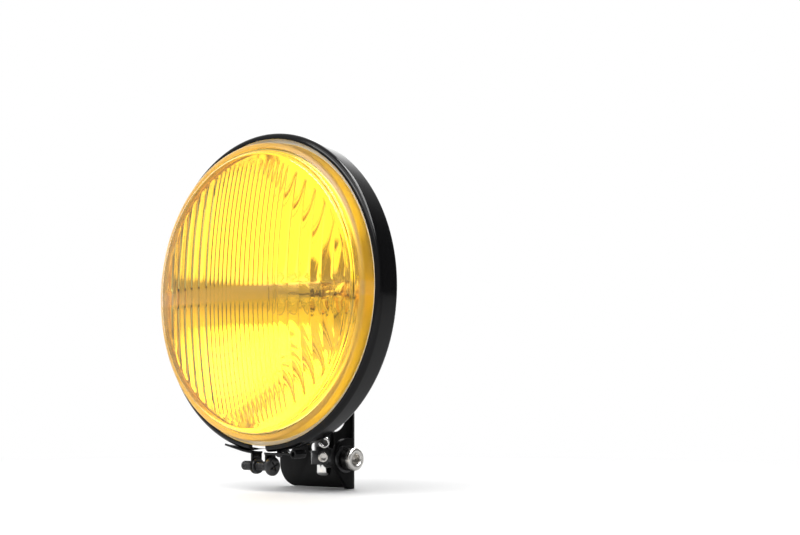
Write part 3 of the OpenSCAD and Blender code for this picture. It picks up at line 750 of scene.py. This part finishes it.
# The bulb and its holder: blown glass on a brass cap, in a plated steel sleeve that
# twists into the reflector's neck, with a sprung brass contact behind.
AXIS_Y = (math.radians(90), 0, 0)
brass = finish(
    "drawn_brass", turned, (0.46, 0.31, 0.12), (0.72, 0.53, 0.26),
    {"Lines": 1500.0, "Roughness": 0.30, "Spread": 0.2},
    bump=0.1, bump_mm=0.02, centre=LAMP, turn=AXIS_Y, Metallic=1.0,
)
plated = finish(
    "plated_steel", turned, (0.45, 0.45, 0.44), (0.70, 0.70, 0.69),
    {"Lines": 1200.0, "Roughness": 0.28, "Spread": 0.2},
    bump=0.1, bump_mm=0.02, centre=LAMP, turn=AXIS_Y, Metallic=1.0,
)
wire = finish(
    "drawn_wire", turned, (0.30, 0.30, 0.30), (0.55, 0.55, 0.56),
    {"Lines": 1500.0, "Roughness": 0.35, "Spread": 0.2},
    bump=0.05, bump_mm=0.02, centre=LAMP, turn=AXIS_Y, Metallic=1.0,
)
phenolic = finish(
    "brown_phenolic", coat, (0.10, 0.045, 0.018), (0.20, 0.10, 0.045),
    {"Grain": 900.0, "Cloud": 200.0, "Roughness": 0.45, "Spread": 0.15, "Dust": 0.0},
)
clear_glass = finish(
    "blown_glass", coat, (0.93, 0.95, 0.96), (0.99, 1.0, 1.0),
    {"Grain": 200.0, "Cloud": 60.0, "Roughness": 0.02, "Spread": 0.02, "Dust": 0.0},
    bump=0.02, Transmission_Weight=1.0, IOR=1.5,
)
for node, name, material, slot in (
    ("bulb_glass", "bulb_envelope", clear_glass, "clear_glass"),
    ("bulb_stem", "bulb_pinch", clear_glass, "clear_glass"),
    ("bulb_filament", "bulb_filament_coil", wire, "tungsten"),
    ("bulb_cap", "bulb_brass_cap", brass, "brass"),
    ("bulb_contact", "bulb_end_contact", wire, "tungsten"),
    ("bulb_holder", "bulb_sleeve", plated, "stainless"),
    ("holder_insulator", "sleeve_insulator", phenolic, "insulator"),
    ("contact_plunger", "sprung_contact", brass, "brass"),
    ("contact_spring", "contact_coil", wire, "tungsten"),
    ("supply_terminal", "blade_terminal", brass, "brass"),
):
    piece = eased(node, name, material, 0.0)
    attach(piece, "bulb_unit")
    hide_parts(node)

# The seal: a grey rubber ring of channel section, slipped over the flange of the glass. It
# lies under the reflector's crimped edge.
grey_rubber = finish(
    "grey_seal_rubber", coat, (0.52, 0.49, 0.44), (0.70, 0.66, 0.60),
    {"Grain": 1500.0, "Cloud": 90.0, "Roughness": 0.55, "Spread": 0.2, "Dust": 0.2}, bump=0.15,
)
# Painted light: the part under the flange glows amber by emission, in place of the light that the glass lets
# through to it
tree = grey_rubber.node_tree
spot = parts_of(tree, tree.nodes.new("ShaderNodeTexCoord").outputs["Object"])
under_glass = ramp(tree, spot["Y"], LAMP.y + 1.8 * MM, 0.4 * MM)
shader = tree.nodes["Principled BSDF"]
painted_glow = mix_colours(tree, under_glass, (0, 0, 0, 1), (0.66, 0.50, 0.31, 1))
tree.links.new(painted_glow, shader.inputs["Emission Color"])
shader.inputs["Emission Strength"].default_value = 1.0
seal_outline = rounded([
    (84.05, -1.76, 0.1), (87.0, -1.76, 0.1), (87.0, -5.02, 0.1), (80.75, -5.02, 0.1),
    (80.75, -5.40, 0.1), (87.42, -5.40, 0.2), (87.42, -1.40, 0.15), (84.05, -1.36, 0.25),
])
seal = into_scene(to_mesh(lathe(seal_outline), "glass_seal"), "glass_seal", grey_rubber, 60)
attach(seal, "lamp")
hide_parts("lens_seal")

# The lens: pressed amber glass, smooth and domed in front. Its inner side has upright
# flutes, fine in the middle and broad at the sides. They are shallower in one paler band
# across the middle.
amber = finish(
    "amber_glass", coat, (1.0, 0.71, 0.115), (1.0, 0.80, 0.215),
    {"Grain": 90.0, "Cloud": 28.0, "Roughness": 0.03, "Spread": 0.03, "Dust": 0.0},
    bump=0.05, bump_mm=0.2, Transmission_Weight=1.0, IOR=1.5,
)
BAND_MIDDLE, BAND_HALF = LAMP.z - 2 * MM, 4.6 * MM
tree = amber.node_tree
where = tree.nodes.new("ShaderNodeTexCoord").outputs["Object"]
off_band = add_math(tree, "ABSOLUTE", add_math(tree, "SUBTRACT", parts_of(tree, where)["Z"], BAND_MIDDLE))
paint_over(amber, ramp(tree, off_band, BAND_HALF, -1.5 * MM), (1.0, 0.755, 0.34, 1))
# The moulded edge beyond the face is left a little dull
TURN_R, DULLNESS = 80.0 * MM, 0.34
past_turn = ramp(tree, off_axis(tree, where, LAMP, (1, 0, 1)), TURN_R, 1.5 * MM)
dullness = tree.nodes["Principled BSDF"].inputs["Roughness"]
polished = dullness.links[0].from_socket
tree.links.new(add_math(tree, "MULTIPLY_ADD", past_turn, DULLNESS, polished), dullness)

GLASS = 3.6
FACE_R, FACE_H = 76.2, 9.9
DOME_R = 300.0
DOME_C = FACE_H - math.sqrt(DOME_R ** 2 - FACE_R ** 2)
FINE_PITCH, FINE_COUNT, FINE_R = 3.6, 16, 5.0
BROAD_PITCH, BROAD_COUNT, BROAD_R = 7.2, 6, 11.0
VALLEY = 0.2
FLUTED_R, END_COLUMNS = 73.4, 14
half_fine = FINE_PITCH * FINE_COUNT / 2

columns = {0.0}
for start, pitch, count, cuts in (
    (0, FINE_PITCH, FINE_COUNT // 2, 7),
    (half_fine, BROAD_PITCH, BROAD_COUNT, 12),
):
    for index in range(count):
        here = [pitch * cut / cuts for cut in range(cuts + 1)]
        here += [VALLEY * share for share in (0.5, 1.0)]
        here += [pitch - VALLEY * share for share in (0.5, 1.0)]
        for near in here:
            if start + pitch * index + near < FLUTED_R * 0.96:
                columns.add(round(start + pitch * index + near, 4))
# Towards both ends of the disc the columns stand ever closer, at equal turns round its edge
limit = math.degrees(math.acos(max(columns) / FLUTED_R))
turns = [math.radians(limit * step / END_COLUMNS) for step in range(END_COLUMNS)]
columns.update(round(FLUTED_R * math.cos(turn), 4) for turn in turns)
columns = sorted(columns | {-x for x in columns})
shares = [c / columns[-1] for c in columns]
last = len(shares) - 1
LOW_ROWS, BAND_ROWS, TOP_ROWS = 20, 14, 22


def row_levels(high):
    """Heights of the grid's rows in a column from -high to high, closest in the middle band."""
    low_band, top_band = min(9.0, 0.6 * high), min(5.0, 0.4 * high)
    low = [-high + (high - low_band) * i / LOW_ROWS for i in range(LOW_ROWS)]
    middle = [-low_band + (low_band + top_band) * i / BAND_ROWS for i in range(BAND_ROWS)]
    return low + middle + [top_band + (high - top_band) * i / TOP_ROWS for i in range(TOP_ROWS + 1)]


def face_grid(made, reach, depth):
    """A disc of columns and rows. Returns its outer loop, from the left end over the top and back."""
    grid = []
    for index, share in enumerate(shares):
        x = share * reach
        levels = [0] if index in (0, last) else row_levels(math.sqrt(reach * reach - x * x))
        grid.append([made.verts.new(LAMP + Vector((x, -depth(x, z), z)) * MM) for z in levels])
    for index in range(last):
        here, there = grid[index], grid[index + 1]
        if len(here) == 1 or len(there) == 1:
            tip, line = (here[0], there) if len(here) == 1 else (there[0], here)
            for a, b in zip(line, line[1:]):
                made.faces.new((tip, a, b))
            continue
        for row in range(len(here) - 1):
            made.faces.new((here[row], there[row], there[row + 1], here[row + 1]))
    top = [grid[0][0]] + [column[-1] for column in grid[1:-1]] + [grid[-1][0]]
    bottom = [column[0] for column in reversed(grid[1:-1])]
    return top + bottom


def inner_depth(x, z):
    return DOME_C + math.sqrt((DOME_R - GLASS) ** 2 - x * x - z * z)


def outer_depth(x, z):
    return DOME_C + math.sqrt(DOME_R ** 2 - x * x - z * z)


def join_loops(made, one, other):
    for k in range(len(one)):
        made.faces.new((one[k], other[k], other[k - 1], one[k - 1]))


lens_made = bmesh.new()
pressed = lens_made.verts.layers.float.new("pressed")
loop = face_grid(lens_made, FLUTED_R, inner_depth)
for vert in lens_made.verts:
    vert[pressed] = 1.0
# The face ends in a small rounded step, and the sloping shoulder round it in a tight turn
STEP_R = 2.3
inner_wall = arc(FACE_R + 0.3, FACE_H - 7.3, 3.7, 82, 2, 8)
outer_wall = arc(81.75, 4.4, 2.1, 2, 62, 8) + arc(78.6, -1.0, 8.33, 61.5, 85, 8) + [(78.75, 7.6, 0)]
outer_wall += arc(FACE_R - 0.1, FACE_H - STEP_R, STEP_R, 12, 80, 10)
wall = (
    [(74.2, inner_depth(74.2, 0), 0)]
    + inner_wall
    + [(80.3, -4.75, 0), (80.6, -4.98, 0), (86.7, -4.98, 0), (86.95, -4.7, 0), (86.95, -2.1, 0)]
    + [(86.7, -1.8, 0), (84.2, -1.8, 0), (83.85, -1.5, 0)]
    + outer_wall
)
angles = [math.atan2(v.co.x - LAMP.x, LAMP.z - v.co.z) for v in loop]
for r, forward, _ in wall:
    ring = [lens_made.verts.new(lamp_point(r, forward, a)) for a in angles]
    join_loops(lens_made, loop, ring)
    loop = ring
join_loops(lens_made, loop, face_grid(lens_made, FACE_R, outer_depth))
bmesh.ops.recalc_face_normals(lens_made, faces=lens_made.faces)
BAND_SHARE, FADE = 0.35, 1.2 * MM


def press_flutes(tree, given):
    """Flutes pressed into the inner face. Each is round, with a small round valley beside it."""
    position = tree.nodes.new("GeometryNodeInputPosition").outputs[0]
    axes = parts_of(tree, add_vector_math(tree, "SUBTRACT", position, LAMP))
    x, z = add_math(tree, "ABSOLUTE", axes["X"]), axes["Z"]
    fine = add_math(tree, "LESS_THAN", x, given["Half of fine part"])

    def either(label):
        span = add_math(tree, "SUBTRACT", given["Fine " + label], given["Broad " + label])
        return add_math(tree, "MULTIPLY_ADD", fine, span, given["Broad " + label])

    def square(a):
        return add_math(tree, "MULTIPLY", a, a)

    pitch, r = either("pitch"), either("radius")
    start = add_math(tree, "MULTIPLY", add_math(tree, "SUBTRACT", 1.0, fine), given["Half of fine part"])
    inside = add_math(tree, "MODULO", add_math(tree, "SUBTRACT", x, start), pitch)
    half = add_math(tree, "MULTIPLY", pitch, 0.5)
    off = add_math(tree, "ABSOLUTE", add_math(tree, "SUBTRACT", inside, half))
    join = add_math(tree, "SUBTRACT", half, given["Valley"])

    def chord(a):
        return add_math(tree, "SQRT", add_math(tree, "SUBTRACT", square(r), square(a)))

    base = chord(join)
    round_part = add_math(tree, "SUBTRACT", chord(add_math(tree, "MINIMUM", off, join)), base)
    near = add_math(tree, "MAXIMUM", add_math(tree, "SUBTRACT", off, join), 0.0)
    bend = add_math(tree, "DIVIDE", square(near), add_math(tree, "MULTIPLY", given["Valley"], 2.0))
    slope = add_math(tree, "DIVIDE", join, base)
    valley = add_math(tree, "MULTIPLY", add_math(tree, "SUBTRACT", bend, near), slope)
    reach = add_math(tree, "SQRT", add_math(tree, "ADD", square(x), square(z)))
    rim_fade = ramp(tree, reach, given["Fluted radius"], -FADE)
    off_band = add_math(tree, "ABSOLUTE", add_math(tree, "SUBTRACT", z, given["Band height"]))
    clear_of_band = ramp(tree, off_band, given["Band half width"], FADE)
    depth = add_math(tree, "ADD", round_part, valley)
    for share in (
        rim_fade,
        add_math(tree, "MULTIPLY_ADD", clear_of_band, 1 - BAND_SHARE, BAND_SHARE),
        add_node(tree, "GeometryNodeInputNamedAttribute", Name="pressed").outputs[0],
    ):
        depth = add_math(tree, "MULTIPLY", depth, share)
    shift = add_node(tree, "ShaderNodeCombineXYZ", Y=depth)
    moved = add_node(tree, "GeometryNodeSetPosition", Geometry=given["Geometry"], Offset=shift.outputs[0])
    return moved.outputs[0]


lens_mesh = grown(
    "press_flutes", to_mesh(lens_made, "lens_blank"),
    {
        "Fine pitch": FINE_PITCH * MM, "Broad pitch": BROAD_PITCH * MM,
        "Fine radius": FINE_R * MM, "Broad radius": BROAD_R * MM,
        "Half of fine part": half_fine * MM, "Valley": VALLEY * MM, "Fluted radius": FLUTED_R * MM,
        "Band height": BAND_MIDDLE - LAMP.z, "Band half width": BAND_HALF,
    },
    press_flutes, amber,
)
lens = into_scene(lens_mesh, "fluted_lens", amber, 24)
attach(lens, "lamp")
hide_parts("lens")
# The strip over the rim draws its line on the metal and leaves the glass alone
all_but_glass = bpy.data.collections.new("all_but_glass")
all_but_glass.objects.link(lens)
all_but_glass.collection_objects[0].light_linking.link_state = "EXCLUDE"
rim_strip.light_linking.receiver_collection = all_but_glass

# The rim: a strip of steel rolled to a channel and bent round the glass and the shell's
# flange, enamelled gloss black, open at the bottom where the clamp screw closes it.
rim_enamel = finish(
    "rim_enamel", coat, (0.002, 0.002, 0.0025), (0.007, 0.007, 0.0075),
    {"Grain": 500.0, "Cloud": 20.0, "Roughness": 0.14, "Spread": 0.06, "Dust": 0.25},
    bump=0.05, bump_mm=0.06, Specular_IOR_Level=0.16,
)
SPLIT = (-10.0, 3.0)
STRIP, EDGE = 1.2, 0.35
FRONT_BEND, FRONT_BEND_R = (87.0, -2.3), 3.0
BACK_BEND, BACK_BEND_R = (85.4, -12.8), 3.6
rim_outline = rounded(
    [(86.4, 0.7, EDGE)]
    + arc(*FRONT_BEND, FRONT_BEND_R, 88, 0, 20)
    + arc(*BACK_BEND, BACK_BEND_R, 0, -88, 20)
    + [(85.4, -16.4, EDGE), (85.4, -15.2, EDGE)]
    + arc(*BACK_BEND, BACK_BEND_R - STRIP, -88, 0, 14)
    + arc(*FRONT_BEND, FRONT_BEND_R - STRIP, 0, 88, 12)
    + [(86.4, -0.5, EDGE)]
)
rim_made = lathe(rim_outline, 360, SPLIT)
ends = [f for f in rim_made.faces if len(f.verts) > 4]
edges = {e for f in ends for e in f.edges}
bmesh.ops.bevel(
    rim_made, geom=list(edges), offset=0.22 * MM, offset_type="OFFSET", segments=2,
    affect="EDGES", profile=0.5,
)
bmesh.ops.triangulate(rim_made, faces=[f for f in rim_made.faces if len(f.verts) > 4])
rim = into_scene(to_mesh(rim_made, "clamp_rim"), "clamp_rim", rim_enamel, 40)
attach(rim, "lamp")
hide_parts("rim_band")

# The rim's two clamp ears. The left one is a strip with a turned-down eye, which holds a
# riveted round nut. The right one is a straight strap with a rolled eye, and a
# round-headed rivet.
for node, name, material, width, slot in (
    ("left_clamp_ear", "nut_ear", rim_enamel, 0.3, "rim_black"),
    ("right_clamp_ear", "screw_ear", rim_enamel, 0.3, "rim_black"),
    ("ear_rivet", "round_rivet", black_zinc, 0.0, "hardware_black"),
    ("clamp_nut", "riveted_round_nut", black_zinc, 0.2, "hardware_black"),
):
    piece = eased(node, name, material, width)
    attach(piece, "lamp")
    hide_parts(node)

# The clamp screw: M5, blackened, with a crossed recess in its low round head. Its thread
# is one ridge that winds along the shank on each side of the nut.
clamp_screw = eased("clamp_screw", "cross_screw", black_zinc, 0.15)
SCREW_AXIS = Vector((0, -56.6, -18.9)) * MM


def thread(tree, given):
    """One ridge that winds along the screw."""
    winding = add_node(
        tree, "GeometryNodeCurveSpiral", Resolution=28, Rotations=given["Turns"],
        Start_Radius=given["Ridge height"], End_Radius=given["Ridge height"],
        Height=add_math(tree, "MULTIPLY", given["Turns"], given["Pitch"]),
    )
    section = add_node(tree, "GeometryNodeCurvePrimitiveCircle", Resolution=6, Radius=given["Ridge radius"])
    ridge = add_node(
        tree, "GeometryNodeCurveToMesh",
        Curve=winding.outputs[0], Profile_Curve=section.outputs[0], Fill_Caps=True,
    )
    start = add_node(tree, "ShaderNodeCombineXYZ", X=given["Start"], Y=SCREW_AXIS.y, Z=SCREW_AXIS.z)
    return placed(tree, ridge.outputs[0], start.outputs[0], AXIS_X)


TURNS, THREAD_PITCH = 9.6, 0.8
for name, start_x in (("tail_thread", 9.9), ("middle_thread", 21.8)):
    winding = into_scene(
        grown(
            name, bpy.data.meshes.new("thread_base"),
            {
                "Turns": TURNS, "Pitch": THREAD_PITCH * MM, "Start": start_x * MM,
                "Ridge height": 2.36 * MM, "Ridge radius": 0.3 * MM,
            },
            thread, black_zinc,
        ),
        name, black_zinc, 50,
    )
    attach(winding, "clamp_screw")
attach(clamp_screw, "clamp_screw")
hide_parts("clamp_screw")
